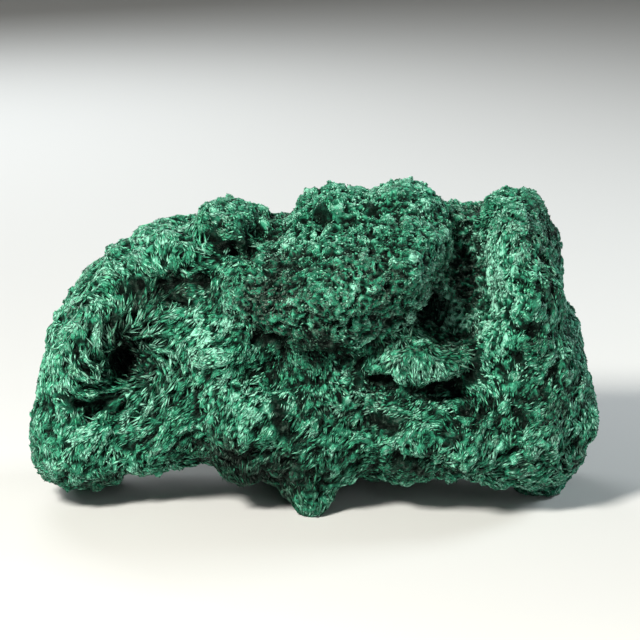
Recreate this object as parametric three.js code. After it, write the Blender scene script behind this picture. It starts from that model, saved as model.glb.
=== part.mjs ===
// A fibrous malachite specimen: one natural piece, a rough slab of grown-together crystal sprays.
// Millimetres, +X to the right, +Y to the back, +Z up. The stone stands on worn feet in the plane Z = 0.
// The solid is the envelope of the crystal tips. It is a field of lobes and hollows, negative inside,
// which is turned into one closed surface on a regular grid.
import * as THREE from "three";

// Driving dimensions.
const WIDTH = 120; // along X, the longest side
const HALF_DEPTH_LOW = 29; // half the depth near the foot of the stone
const HALF_DEPTH_HIGH = 20; // half the depth along its top ridge
const HEIGHT = 66; // of the highest bump above the surface that it stands on
const CELL = 2.85; // grid spacing of the surface
const EDGE_ROUNDING = 14; // how softly the front and back turn into the outline
const BLEND = 3; // how softly a lobe grows out of the mass
const CARVE_BLEND = 1.5; // how softly a hollow's lip is rounded
const LEFT_THINNING = 6; // how much thinner the left end is than the middle, on each face
const FACE_INSET = 3; // how far the plain slab's faces lie inside its half depths
const GRID_MARGIN = 4 * CELL; // room round the stone, at its sides and top
const GRID_FOOT_MARGIN = 3 * CELL; // and below it
const NUDGE = 0.1 * CELL; // how far past the surface a mended grid point is put
const OUTLINE_STEPS = 4; // straight steps from one point of the outline to the next

// The rock's silhouette from the front, as a closed smooth curve of [x, z] points.
const OUTLINE = [
  [-61, 11], [-61, 17], [-61, 22], [-60.5, 28], [-59, 34], [-55, 39.5], [-49.5, 46.5], [-42.5, 53],
  [-34, 56.5], [-28, 57], [-26, 61], [-15, 59], [-10, 55.5], [-6, 62], [3, 64], [8.5, 62], [13, 65],
  [18, 63.5], [24, 60.5], [32, 60], [33.5, 63], [43.5, 62.5], [45.5, 57], [46, 50], [48.5, 42], [52, 32],
  [54.5, 23], [54.5, 16], [49.5, 8], [45, 4.5], [38, 5.5], [24, 10], [14, 8.5], [0, 5], [-8, 5], [-19, 6],
  [-23, 9], [-32, 8.5], [-38, 6.5], [-48, 5], [-58, 6],
];

// Rounded masses: an ellipsoid at [x, y, z] with radii [x, y, z], turned by degrees about X, Y and Z.
const LOBES = [
  { at: [2, -14, 46], radii: [20, 17.5, 13.5], turn: [0, -16, -6] }, // the boulder in the middle of the face
  { at: [13, -15, 49.5], radii: [9.5, 15.5, 10], turn: [0, 0, 0] }, // its heavy right shoulder
  { at: [-13, -15, 45], radii: [11, 12.5, 10], turn: [0, 0, 0] }, // its left shoulder
  { at: [-23, -14, 34], radii: [10, 12, 13], turn: [0, 20, 0] }, // the slope below that shoulder
  { at: [-13, -13, 20], radii: [24, 15, 12], turn: [0, 6, 0] }, // the lower ledge, left half
  { at: [20, -12, 17], radii: [27, 17, 10.5], turn: [0, 2, 0] }, // the lower ledge, right half
  { at: [40.5, -10, 18], radii: [12, 18, 13.5], turn: [0, -8, 0] }, // the heavy lower right corner
  { at: [20, -14, 31], radii: [12.5, 13, 5], turn: [0, 0, 0] }, // the shelf of long needles in the recess
  { at: [40, -12, 42], radii: [6.5, 13.5, 19], turn: [0, -6, 0] }, // the pillar on the right
  { at: [-50.5, -6, 14], radii: [11, 16.5, 10.5], turn: [0, 0, 0] }, // the lower left lobe
  { at: [-50.5, -8, 33], radii: [7.5, 15, 13], turn: [0, 25, 0] }, // the left flank, which rims the funnel
  { at: [-19, -8, 55.5], radii: [5.5, 6.5, 5], turn: [0, 0, 0] }, // the small knob on the top left
  { at: [1.5, -3, 57.5], radii: [7, 7.5, 6], turn: [0, 0, 0] }, // the bump with a pit in it
  { at: [16.5, -3, 58.5], radii: [7, 8.5, 5.5], turn: [0, 0, 0] }, // the highest bump
  { at: [40, 0, 58], radii: [5.5, 9.5, 5.5], turn: [0, 0, 0] }, // the square right peak
  { at: [-16, 16, 33], radii: [25, 12, 18], turn: [0, 12, 0] }, // the two broad swells of the back
  { at: [27, 15, 29], radii: [20, 12, 19], turn: [0, -20, 0] },
  { at: [4, 15, 14], radii: [30, 13, 9], turn: [0, 0, 0] }, // the ledge along the foot of the back
];

// Ridges and feet: a round bar from one end to the other, with a radius at each.
const BARS = [
  { from: [-6, -12, 18], to: [-4.5, -18.8, 1.2], radii: [15, 3] }, // the keel that narrows to the front foot
  { from: [-16, -13, 17], to: [-17, -16.5, 10], radii: [10, 6] }, // the fringe that hangs to the left of it
  { from: [-50, 0, 12], to: [-49, 4, 2.5], radii: [9, 5.5] }, // the left foot
  { from: [44, -4, 13], to: [45, -4, 2.5], radii: [10, 6] }, // the right foot, under the heavy corner
  { from: [-12, 15, 14], to: [-13, 17, 2], radii: [10, 5] }, // the back foot
];

// Hollows: ellipsoids taken away, given as the lobes are.
const HOLLOWS = [
  { at: [27.5, -23, 45.5], radii: [8, 16, 13], turn: [25, 6, 0] }, // the deep recess beside the boulder
  { at: [23, -34, 38.5], radii: [12.5, 15, 7], turn: [38, 0, 0] }, // its wide lower end, over the shelf
  { at: [19, -14, 42], radii: [3.8, 14, 4.4], turn: [0, 0, 0] }, // the black pocket under the boulder's edge
  { at: [28, -12, 54], radii: [5, 12, 5], turn: [0, -30, 0] }, // the recess's upper pocket
  { at: [21, -27, 26], radii: [14, 11, 3], turn: [0, 0, 0] }, // the black gap under the shelf
  { at: [-40, -27, 32], radii: [9.5, 13, 10.5], turn: [0, 15, 0] }, // the funnel on the left
  { at: [-43, -16, 31], radii: [3.6, 11, 4.4], turn: [0, 0, 0] }, // the black pit at its bottom
  { at: [-48, -25, 22.5], radii: [8, 7, 3.6], turn: [0, -40, 0] }, // the gash that leads out of it
  { at: [-33, -23, 49], radii: [4.5, 9, 11], turn: [0, 25, 0] }, // the crevice above it
  { at: [-2, -33, 33.5], radii: [14, 10, 3.8], turn: [0, -4, 0] }, // the shaded undercut below the boulder
  { at: [10, -32, 38], radii: [9, 9, 4.5], turn: [0, -35, 0] },
  { at: [-2, 32, 45], radii: [12, 9, 8], turn: [0, 20, 0] }, // a shallow scoop high on the back
  { at: [6, 6, -1], radii: [22, 14, 7], turn: [0, 0, 0] }, // the arched underside
  { at: [-31, -8, -1], radii: [8.5, 26, 9.5], turn: [0, 0, 0] },
  { at: [23, -12, -2], radii: [15, 22, 10], turn: [0, 0, 0] },
];

// The lumps of the surface: how far apart, and how far they stand above the creases between them.
const LUMPS = [
  { size: 17, height: 2.4 },
  { size: 9, height: 2.4 },
  { size: 6.5, height: 1.1 },
];
const CREASE_LEVEL = 0.3; // the height, of 1, that a lump's creases are sunk by
const NOISE_SEED = 11;
const LATTICE_PRIMES = [374761393, 668265263, 2147483647]; // one for each axis, to tell its steps apart
const MIXING_PRIMES = [1274126177, 2246822519];
const LARGEST_HASH = 2 ** 32 - 1;

// A repeatable pseudo-random number from 0 to 1 for each point of a whole-number lattice.
function latticeValue(i, j, k) {
  const steps = [i, j, k].map((step, axis) => Math.imul(step, LATTICE_PRIMES[axis]));
  let h = steps[0] ^ steps[1] ^ steps[2] ^ NOISE_SEED;
  h = Math.imul(h ^ (h >>> 13), MIXING_PRIMES[0]);
  h = Math.imul(h ^ (h >>> 15), MIXING_PRIMES[1]);
  return ((h ^ (h >>> 16)) >>> 0) / LARGEST_HASH;
}

// Smooth noise from -1 to 1 whose bumps are about size across.
function noise(p, size) {
  const place = [p.x / size, p.y / size, p.z / size];
  const low = place.map(Math.floor);
  const share = place.map((v, n) => THREE.MathUtils.smootherstep(v - low[n], 0, 1));
  let sum = 0;
  for (let corner = 0; corner < 8; corner++) {
    const step = [corner & 1, (corner >> 1) & 1, corner >> 2];
    const weight = step.reduce((w, s, n) => w * (s ? share[n] : 1 - share[n]), 1);
    sum += weight * latticeValue(low[0] + step[0], low[1] + step[1], low[2] + step[2]);
  }
  return 2 * sum - 1;
}

// The larger of two distances, with the corner between them rounded over about the given width.
function smoothMax(a, b, width) {
  const h = Math.max(width - Math.abs(a - b), 0) / width;
  return Math.max(a, b) + (h * h * width) / 4;
}

const smoothMin = (a, b, width) => -smoothMax(-a, -b, width);

// About how far p is outside an ellipsoid, negative inside.
function ellipsoidDistance(p, { at, radii, turn }) {
  const turned = new THREE.Quaternion().setFromEuler(new THREE.Euler(...turn.map(THREE.MathUtils.degToRad)));
  const q = p.clone().sub(new THREE.Vector3(...at)).applyQuaternion(turned.invert());
  const scaled = q.divide(new THREE.Vector3(...radii));
  const k0 = scaled.length();
  const k1 = scaled.divide(new THREE.Vector3(...radii)).length();
  return k1 > 0 ? (k0 * (k0 - 1)) / k1 : -Math.min(...radii);
}

// How far p is outside a round bar whose radius changes evenly from end to end.
function barDistance(p, { from, to, radii }) {
  const line = new THREE.Line3(new THREE.Vector3(...from), new THREE.Vector3(...to));
  const share = line.closestPointToPointParameter(p, true);
  return line.at(share, new THREE.Vector3()).distanceTo(p) - THREE.MathUtils.lerp(...radii, share);
}

const outlineCurve = new THREE.CatmullRomCurve3(
  OUTLINE.map(([x, z]) => new THREE.Vector3(x, 0, z)), true, "centripetal",
);
const outlinePoints = outlineCurve.getPoints(OUTLINE_STEPS * OUTLINE.length);

// How far [x, z] is outside the outline, negative inside.
function outlineDistance(x, z) {
  let nearest = Infinity;
  let inside = false;
  for (let n = 1; n < outlinePoints.length; n++) {
    const a = outlinePoints[n - 1];
    const b = outlinePoints[n];
    const [ex, ez, px, pz] = [b.x - a.x, b.z - a.z, x - a.x, z - a.z];
    const share = THREE.MathUtils.clamp((px * ex + pz * ez) / (ex * ex + ez * ez), 0, 1);
    nearest = Math.min(nearest, Math.hypot(px - ex * share, pz - ez * share));
    if (a.z > z !== b.z > z && x < (ex * (z - a.z)) / ez + a.x) inside = !inside;
  }
  return inside ? -nearest : nearest;
}

// The plain slab between the front and the back, before its lobes and hollows.
function slabDistance(p) {
  const height = THREE.MathUtils.clamp(p.z / HEIGHT, 0, 1);
  const left = THREE.MathUtils.smoothstep(-p.x, 0, WIDTH / 2);
  const half = THREE.MathUtils.lerp(HALF_DEPTH_LOW, HALF_DEPTH_HIGH, height) - LEFT_THINNING * left;
  return smoothMax(outlineDistance(p.x, p.z), Math.abs(p.y) - half + FACE_INSET, EDGE_ROUNDING);
}

// The whole stone's field: negative inside, zero on the surface.
function stoneField(p) {
  let d = slabDistance(p);
  for (const lobe of LOBES) d = smoothMin(d, ellipsoidDistance(p, lobe), BLEND);
  for (const hollow of HOLLOWS) d = smoothMax(d, -ellipsoidDistance(p, hollow), CARVE_BLEND);
  for (const bar of BARS) d = smoothMin(d, barDistance(p, bar), BLEND);
  for (const { size, height } of LUMPS) d -= height * (Math.abs(noise(p, size)) - CREASE_LEVEL);
  return d;
}

// The field at every point of a grid that surrounds the stone on all sides.
function sampleGrid() {
  const high = new THREE.Vector3(WIDTH / 2, HALF_DEPTH_LOW, HEIGHT).addScalar(GRID_MARGIN);
  const low = new THREE.Vector3(-high.x, -high.y, -GRID_FOOT_MARGIN);
  const count = high.clone().sub(low).divideScalar(CELL).ceil().toArray().map((n) => n + 1);
  const grid = { low, count, values: new Float64Array(count[0] * count[1] * count[2]) };
  grid.index = (i, j, k) => i + count[0] * (j + count[1] * k);
  grid.point = (i, j, k) => new THREE.Vector3(i, j, k).multiplyScalar(CELL).add(low);
  for (let k = 0; k < count[2]; k++)
    for (let j = 0; j < count[1]; j++)
      for (let i = 0; i < count[0]; i++) grid.values[grid.index(i, j, k)] = stoneField(grid.point(i, j, k));
  return grid;
}

const AXES = [[1, 0, 0], [0, 1, 0], [0, 0, 1]];
const offset = (place, axis, by) => place.map((v, n) => v + by * AXES[axis][n]);

// Fills the corner of every grid square whose corners are inside and outside by turns, so that no two
// sheets of the surface share an edge.
function settleCheckers(grid) {
  const value = (place) => grid.values[grid.index(...place)];
  for (let changed = true; changed; ) {
    changed = false;
    for (let k = 0; k < grid.count[2] - 1; k++)
      for (let j = 0; j < grid.count[1] - 1; j++)
        for (let i = 0; i < grid.count[0] - 1; i++)
          for (let axis = 0; axis < 3; axis++) {
            const a = [i, j, k];
            const b = offset(a, (axis + 1) % 3, 1);
            const c = offset(b, (axis + 2) % 3, 1);
            const d = offset(a, (axis + 2) % 3, 1);
            const solid = [a, b, c, d].map((place) => value(place) < 0);
            if (solid[0] !== solid[2] || solid[1] !== solid[3] || solid[0] === solid[1]) continue;
            const open = solid[0] ? b : a;
            grid.values[grid.index(...open)] = -NUDGE;
            changed = true;
          }
  }
}

// Clears every crumb that the lumps left loose, and keeps the one mass that hangs together.
function dropCrumbs(grid) {
  const reached = new Set();
  const middle = grid.low.clone().negate().divideScalar(CELL).round().toArray();
  const waiting = [offset(middle, 2, Math.round(HEIGHT / 2 / CELL))];
  while (waiting.length > 0) {
    const place = waiting.pop();
    const key = grid.index(...place);
    if (reached.has(key) || grid.values[key] >= 0) continue;
    reached.add(key);
    for (let axis = 0; axis < 3; axis++) waiting.push(offset(place, axis, 1), offset(place, axis, -1));
  }
  grid.values.forEach((value, key) => {
    if (value < 0 && !reached.has(key)) grid.values[key] = NUDGE;
  });
}

// One closed surface: a vertex in each grid cell that the surface crosses, at the mean of its crossings,
// and a square of two triangles round each grid edge that it crosses.
function surfaceOf(grid) {
  const vertexOf = new Map();
  const positions = [];
  const value = (place) => grid.values[grid.index(...place)];

  function cellVertex(cell) {
    const key = grid.index(...cell);
    if (vertexOf.has(key)) return vertexOf.get(key);
    const mean = new THREE.Vector3();
    let crossings = 0;
    for (let axis = 0; axis < 3; axis++)
      for (const [u, v] of [[0, 0], [1, 0], [0, 1], [1, 1]]) {
        const start = offset(offset(cell, (axis + 1) % 3, u), (axis + 2) % 3, v);
        const end = offset(start, axis, 1);
        const [a, b] = [value(start), value(end)];
        if (a < 0 === b < 0) continue;
        mean.add(grid.point(...start).lerp(grid.point(...end), a / (a - b)));
        crossings++;
      }
    mean.divideScalar(crossings);
    vertexOf.set(key, positions.length / 3);
    positions.push(mean.x, mean.y, Math.max(mean.z, 0)); // the feet are worn flat where the stone stands
    return vertexOf.get(key);
  }

  const triangles = [];
  for (let k = 1; k < grid.count[2] - 1; k++)
    for (let j = 1; j < grid.count[1] - 1; j++)
      for (let i = 1; i < grid.count[0] - 1; i++)
        for (let axis = 0; axis < 3; axis++) {
          const start = [i, j, k];
          const inside = value(start) < 0;
          if (inside === value(offset(start, axis, 1)) < 0) continue;
          const [u, v] = [(axis + 1) % 3, (axis + 2) % 3];
          const before = offset(start, u, -1);
          const cells = [start, before, offset(before, v, -1), offset(start, v, -1)];
          const [a, b, c, d] = (inside ? cells : cells.reverse()).map(cellVertex);
          triangles.push(a, b, c, a, c, d);
        }
  return { positions, triangles };
}

function stoneGeometry() {
  const grid = sampleGrid();
  settleCheckers(grid);
  dropCrumbs(grid);
  const { positions, triangles } = surfaceOf(grid);
  const geometry = new THREE.BufferGeometry();
  geometry.setAttribute("position", new THREE.Float32BufferAttribute(positions, 3));
  geometry.setIndex(triangles);
  geometry.computeBoundingBox();
  const centre = geometry.boundingBox.getCenter(new THREE.Vector3());
  geometry.translate(-centre.x, -centre.y, 0);
  geometry.computeVertexNormals();
  return geometry;
}

const malachite = new THREE.MeshStandardMaterial({ color: 0x2e9e6e, roughness: 0.75, metalness: 0 });
const stone = new THREE.Mesh(stoneGeometry(), malachite);
stone.name = "malachite_stone";

const specimen = new THREE.Group();
specimen.add(stone);
export default specimen;
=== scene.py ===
import math
from collections import namedtuple

import bmesh
import bpy
import numpy as np
from bpy.props import FloatProperty, FloatVectorProperty, IntProperty, PointerProperty
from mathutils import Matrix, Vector
from mathutils.bvhtree import BVHTree
from mathutils.kdtree import KDTree


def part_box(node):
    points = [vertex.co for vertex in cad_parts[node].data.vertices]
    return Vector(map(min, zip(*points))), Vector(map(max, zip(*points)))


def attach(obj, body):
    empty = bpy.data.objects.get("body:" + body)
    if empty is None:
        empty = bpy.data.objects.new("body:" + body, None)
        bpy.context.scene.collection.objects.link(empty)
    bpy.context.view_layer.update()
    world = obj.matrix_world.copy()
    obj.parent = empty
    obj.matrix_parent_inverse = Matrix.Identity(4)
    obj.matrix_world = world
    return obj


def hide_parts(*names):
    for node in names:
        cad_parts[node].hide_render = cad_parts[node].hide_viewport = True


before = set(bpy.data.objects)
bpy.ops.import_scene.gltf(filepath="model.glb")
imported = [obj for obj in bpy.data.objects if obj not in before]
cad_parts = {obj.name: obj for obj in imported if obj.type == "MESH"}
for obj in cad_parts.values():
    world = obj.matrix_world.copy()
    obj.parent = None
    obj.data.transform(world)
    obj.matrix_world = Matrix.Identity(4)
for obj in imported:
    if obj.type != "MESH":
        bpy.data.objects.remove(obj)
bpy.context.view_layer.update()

bl_info = {
    "name": "Fibrous Malachite Specimen",
    "version": (1, 0, 0),
    "blender": (4, 5, 0),
    "location": "View3D > Sidebar > Specimen",
    "description": "Builds a rough malachite specimen, with its ground mass and its crystal needles",
    "category": "Add Mesh",
}

MM = 0.001
STONE = "malachite_stone"  # the CAD solid, the envelope of the crystal tips
LOW, HIGH = (np.array(corner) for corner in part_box(STONE))
SPAN = HIGH - LOW
BODY = "stone_body"
SEED = 5
APART = 997  # tells one sheaf's threads from the next one's
SKY_REACH = 22 * MM  # how far off the stone can shade itself

Habit = namedtuple("Habit", "name at reach length lean order dull tone flow spread swirl", defaults=(0, 0))
Patch = namedtuple("Patch", "name at reach tone")
Crack = namedtuple("Crack", "name half_width depth points")
Brink = namedtuple("Brink", "name drop fade points")
Lump = namedtuple("Lump", "name at reach height")

# How the crystals' habit changes over the stone. at and reach are shares of the stone's box, along X, Y
# and Z. length is in millimetres and lean in degrees from the surface's normal. order is 0 where they lie
# every way, as grains, and 1 where they keep together in sheaves, dull is how weathered they are, and tone
# makes them darker below 0 and paler above it: partly their own colour, and mostly painted light, as
# painted shade on the undersides, the keel and the fringe, and painted highlight on the pillar's lit edge
# and the slope, with the shaded recess painted paler. The tips point along flow, plus spread times the way
# out from at, plus swirl times the way round it.
HABITS = (
    Habit("boulder", at=(0.53, 0.08, 0.7), reach=(0.15, 0.3, 0.15),
          length=0.75, lean=80, order=0.1, dull=0.55, tone=0, flow=(0.6, 0, 0.5)),
    Habit("boulder's shaded foot", at=(0.52, 0.06, 0.54), reach=(0.12, 0.25, 0.06),
          length=1.2, lean=86, order=0.7, dull=0.35, tone=-0.55, flow=(0.4, 0, -1)),
    Habit("recess", at=(0.73, 0.35, 0.66), reach=(0.09, 0.28, 0.17),
          length=0.8, lean=74, order=0, dull=0.7, tone=1.15, flow=(0, 0, -0.4), spread=0.6, swirl=0.5),
    Habit("needle shelf", at=(0.68, 0.12, 0.53), reach=(0.12, 0.16, 0.07),
          length=2.9, lean=70, order=1.2, dull=0.2, tone=0.3, flow=(0, -0.2, -0.8), spread=1),
    Habit("pillar", at=(0.83, 0.16, 0.66), reach=(0.05, 0.25, 0.22),
          length=1.2, lean=83, order=0.55, dull=0.1, tone=0.25, flow=(-0.3, -0.3, 0.8), spread=0.3),
    Habit("pillar's edge", at=(0.822, 0.26, 0.66), reach=(0.028, 0.3, 0.15),
          length=1.2, lean=83, order=0.5, dull=0, tone=1.6, flow=(-0.3, 0, 0.8)),
    Habit("right flank", at=(0.93, 0.2, 0.52), reach=(0.06, 0.35, 0.25),
          length=1.5, lean=86, order=0.75, dull=0.3, tone=-0.05, flow=(0.35, 0, 1)),
    Habit("lower right corner", at=(0.86, 0.14, 0.28), reach=(0.12, 0.25, 0.16),
          length=1.9, lean=85, order=0.8, dull=0.35, tone=0, flow=(0.45, 0, 0.8), spread=0.2),
    Habit("ledge, right half", at=(0.64, 0.08, 0.26), reach=(0.1, 0.2, 0.1),
          length=1.9, lean=84, order=0.75, dull=0.2, tone=0.1, flow=(-0.5, 0, -0.75), spread=0.3),
    Habit("ledge, left half", at=(0.38, 0.08, 0.3), reach=(0.15, 0.2, 0.12),
          length=2.1, lean=85, order=0.8, dull=0.1, tone=0.15, flow=(-0.45, 0, -0.9), spread=0.1),
    Habit("keel", at=(0.48, 0.12, 0.14), reach=(0.09, 0.25, 0.14),
          length=2.5, lean=86, order=0.8, dull=0.25, tone=-0.45, flow=(-0.1, 0, -1), spread=0.2),
    Habit("fringe", at=(0.37, 0.12, 0.17), reach=(0.06, 0.2, 0.08),
          length=3, lean=84, order=1, dull=0.25, tone=-1.2, flow=(0, 0, -1)),
    Habit("slope", at=(0.33, 0.16, 0.56), reach=(0.08, 0.25, 0.16),
          length=1.9, lean=85, order=0.65, dull=0.05, tone=0.5, flow=(-0.7, 0, -0.8)),
    Habit("funnel", at=(0.225, 0.26, 0.48), reach=(0.085, 0.25, 0.16),
          length=3.2, lean=80, order=1.3, dull=0.3, tone=-0.1, flow=(0, 0, 0.2), spread=1.2, swirl=-1),
    Habit("left flank", at=(0.07, 0.25, 0.52), reach=(0.07, 0.4, 0.22),
          length=2.1, lean=86, order=0.85, dull=0.15, tone=0.35, flow=(-0.25, 0, 1)),
    Habit("lower left lobe", at=(0.1, 0.2, 0.22), reach=(0.1, 0.35, 0.16),
          length=1.9, lean=84, order=0.7, dull=0.15, tone=0.2, flow=(-0.5, 0, -0.8)),
    Habit("upper left feathers", at=(0.21, 0.35, 0.85), reach=(0.13, 0.4, 0.13),
          length=2.3, lean=80, order=0.85, dull=0.15, tone=0.15, flow=(-0.6, 0, 0.9), spread=0.3),
    Habit("crest", at=(0.55, 0.45, 0.97), reach=(0.22, 0.35, 0.09),
          length=0.7, lean=78, order=0.1, dull=0.1, tone=0.15, flow=(0, 0, 1), spread=0.4),
)
# The habit away from those regions, and its weight beside theirs.
COMMON = Habit("common", at=None, reach=None, length=1.1, lean=83, order=0.5, dull=0.25, tone=0,
               flow=(0, 0, -0.5))
COMMON_SHARE = 0.12
MEASURES = ("length", "lean", "order", "dull", "tone")

# Darker and paler patches of the front face, at shares of the box's width and height. Their tone is painted
# light: painted shade in the pit, the crevice and the gaps, under the boulder, the shelf and the ledge, and
# on the right-facing sides, and painted highlight on the brows, the tops and the pillar's left edge. On the
# boulder's left shoulder it is partly the grains' own darker colour. A darker patch also has more dull
# grains, and a paler one fewer.
PATCHES = (
    Patch("pit", (0.193, 0.475), (0.028, 0.065), -1.2),
    Patch("funnel's throat", (0.205, 0.5), (0.06, 0.1), -0.35),
    Patch("keel's side", (0.47, 0.17), (0.06, 0.1), -0.5),
    Patch("shelf's upper side", (0.7, 0.54), (0.07, 0.03), -0.5),
    Patch("lobe's brow", (0.12, 0.26), (0.06, 0.06), 0.4),
    Patch("crest", (0.53, 0.95), (0.1, 0.04), 0.3),
    Patch("crevice", (0.26, 0.69), (0.07, 0.07), -0.9),
    Patch("boulder's left shoulder", (0.41, 0.7), (0.05, 0.08), -0.45),
    Patch("under the shoulder", (0.43, 0.575), (0.035, 0.03), -0.7),
    Patch("under the boulder", (0.52, 0.59), (0.07, 0.045), -0.6),
    Patch("boulder's top", (0.5, 0.86), (0.08, 0.05), 0.3),
    Patch("boulder's brow", (0.55, 0.76), (0.06, 0.06), 0.35),
    Patch("recess's right wall", (0.765, 0.7), (0.03, 0.1), -0.6),
    Patch("boulder's right side", (0.64, 0.76), (0.03, 0.1), -0.5),
    Patch("gap under the shelf", (0.72, 0.415), (0.05, 0.02), -0.8),
    Patch("slope's middle", (0.32, 0.58), (0.05, 0.08), 0.3),
    Patch("ledge's left brow", (0.4, 0.36), (0.05, 0.06), 0.3),
    Patch("ledge's hollow", (0.455, 0.33), (0.025, 0.06), -0.7),
    Patch("ledge's middle", (0.55, 0.33), (0.04, 0.06), 0.25),
    Patch("ledge's right hollow", (0.625, 0.325), (0.04, 0.03), -0.7),
    Patch("ledge's underside", (0.66, 0.17), (0.08, 0.05), -0.8),
    Patch("arch", (0.37, 0.22), (0.05, 0.04), -0.9),
    Patch("corner's brow", (0.83, 0.24), (0.05, 0.06), 0.35),
    Patch("pillar's pale edge", (0.815, 0.66), (0.03, 0.13), 0.8),
    Patch("pillar's right facet", (0.92, 0.85), (0.03, 0.1), -0.5),
    Patch("left lobe's foot", (0.12, 0.1), (0.12, 0.05), -0.5),
)

# Cracks and pits of the front face, finer than the solid's own hollows: half width and depth, in
# millimetres, and the points that each follows, as shares of the box's width and height.
CRACKS = (
    Crack("knob's foot", 1.1, 4, ((0.335, 0.848), (0.352, 0.838), (0.375, 0.836), (0.393, 0.846),
          (0.401, 0.872))),
    Crack("below the knob's right end", 0.9, 3, ((0.391, 0.826), (0.397, 0.805))),
    Crack("pit right of the knob", 0.8, 2.4, ((0.43, 0.822),)),
    Crack("feathers' cleft", 0.9, 3, ((0.205, 0.715), (0.213, 0.69), (0.2, 0.665))),
    Crack("crevice", 1.3, 3.4, ((0.262, 0.715), (0.27, 0.692), (0.29, 0.678))),
    Crack("crevice's right end", 1.1, 2.6, ((0.308, 0.728), (0.325, 0.72))),
    Crack("below the crevice", 0.8, 2.2, ((0.246, 0.655), (0.255, 0.64))),
    Crack("over the funnel", 0.7, 3, ((0.153, 0.572), (0.172, 0.588), (0.192, 0.606))),
    Crack("funnel's upper cleft", 0.6, 2.6, ((0.184, 0.655), (0.19, 0.69), (0.196, 0.72))),
    Crack("cleft over the lobe", 0.9, 3.4, ((0.075, 0.376), (0.095, 0.35), (0.115, 0.336),
          (0.15, 0.346))),
    Crack("pit over the lobe", 1, 2.4, ((0.115, 0.42),)),
    Crack("left flank's pit", 0.7, 1.8, ((0.085, 0.51), (0.088, 0.49))),
    Crack("upper flank's cleft", 0.7, 1.8, ((0.108, 0.648), (0.128, 0.66))),
    Crack("lobe's pit", 0.9, 1.8, ((0.09, 0.246),)),
    Crack("under the shoulder", 1.2, 2.2, ((0.412, 0.575), (0.44, 0.566))),
    Crack("holes under the boulder", 1, 3.6, ((0.52, 0.578), (0.53, 0.566), (0.545, 0.56))),
    Crack("slot left of the shelf", 0.9, 2.8, ((0.587, 0.52), (0.577, 0.48), (0.577, 0.44))),
    Crack("under the shelf", 1.1, 4, ((0.598, 0.432), (0.632, 0.434), (0.668, 0.424), (0.69, 0.426))),
    Crack("under the shelf's right half", 0.8, 2.4, ((0.69, 0.426), (0.73, 0.42), (0.756, 0.428))),
    Crack("slot right of the shelf", 1.2, 4.2, ((0.77, 0.44), (0.773, 0.47), (0.778, 0.49))),
    Crack("over that slot", 1, 2.6, ((0.77, 0.548), (0.775, 0.515))),
    Crack("pit in the bump", 1.5, 3.2, ((0.52, 0.926),)),
    Crack("pit on the crest", 1, 2, ((0.603, 0.936),)),
    Crack("pillar's hole", 0.8, 2.6, ((0.828, 0.657), (0.83, 0.645))),
    Crack("under the pillar's lump", 0.8, 2.6, ((0.846, 0.606), (0.862, 0.606), (0.882, 0.612))),
    Crack("pillar's foot", 0.9, 2.8, ((0.85, 0.512), (0.848, 0.5))),
    Crack("right flank's pit", 0.8, 2, ((0.905, 0.462),)),
    Crack("corner's pit", 0.8, 1.8, ((0.86, 0.35), (0.85, 0.33))),
    Crack("ledge's diagonal crack", 0.6, 2.4, ((0.7, 0.248), (0.722, 0.272), (0.75, 0.296))),
    Crack("ledge's right hollow", 1.4, 2, ((0.61, 0.33), (0.64, 0.318))),
    Crack("ledge's hollow", 1, 1.2, ((0.445, 0.385), (0.452, 0.34), (0.465, 0.29))),
    Crack("ledge's underside", 1.5, 2, ((0.655, 0.2), (0.69, 0.18))),
    Crack("pit in the knob", 0.7, 1.6, ((0.345, 0.88),)),
)

# Brinks of the front face: just below such a line the surface drops back, and then comes out again. Each
# has the depth of its drop and the distance over which it fades, in millimetres, and the line's points.
BRINKS = (
    Brink("boulder's foot", 1.9, 7, ((0.405, 0.64), (0.465, 0.632), (0.5, 0.676), (0.56, 0.674),
          (0.605, 0.66), (0.648, 0.64))),
    Brink("knob's foot", 2.2, 3.5, ((0.31, 0.868), (0.345, 0.85), (0.375, 0.845), (0.398, 0.86),
          (0.404, 0.885))),
    Brink("shelf's lip", 1.4, 2.5, ((0.6, 0.455), (0.66, 0.45), (0.74, 0.44))),
    Brink("right ridge", 1, 6, ((0.945, 0.6), (0.925, 0.72), (0.872, 0.92))),
    Brink("bump's foot", 1.2, 4, ((0.48, 0.9), (0.52, 0.925), (0.56, 0.92))),
    Brink("upper lump's foot", 1.6, 3, ((0.15, 0.59), (0.17, 0.61), (0.2, 0.64))),
    Brink("over the arch", 1.8, 6, ((0.355, 0.25), (0.4, 0.262), (0.44, 0.27))),
    Brink("ledge's lower edge", 2, 7, ((0.59, 0.245), (0.65, 0.24), (0.72, 0.225))),
)

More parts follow.
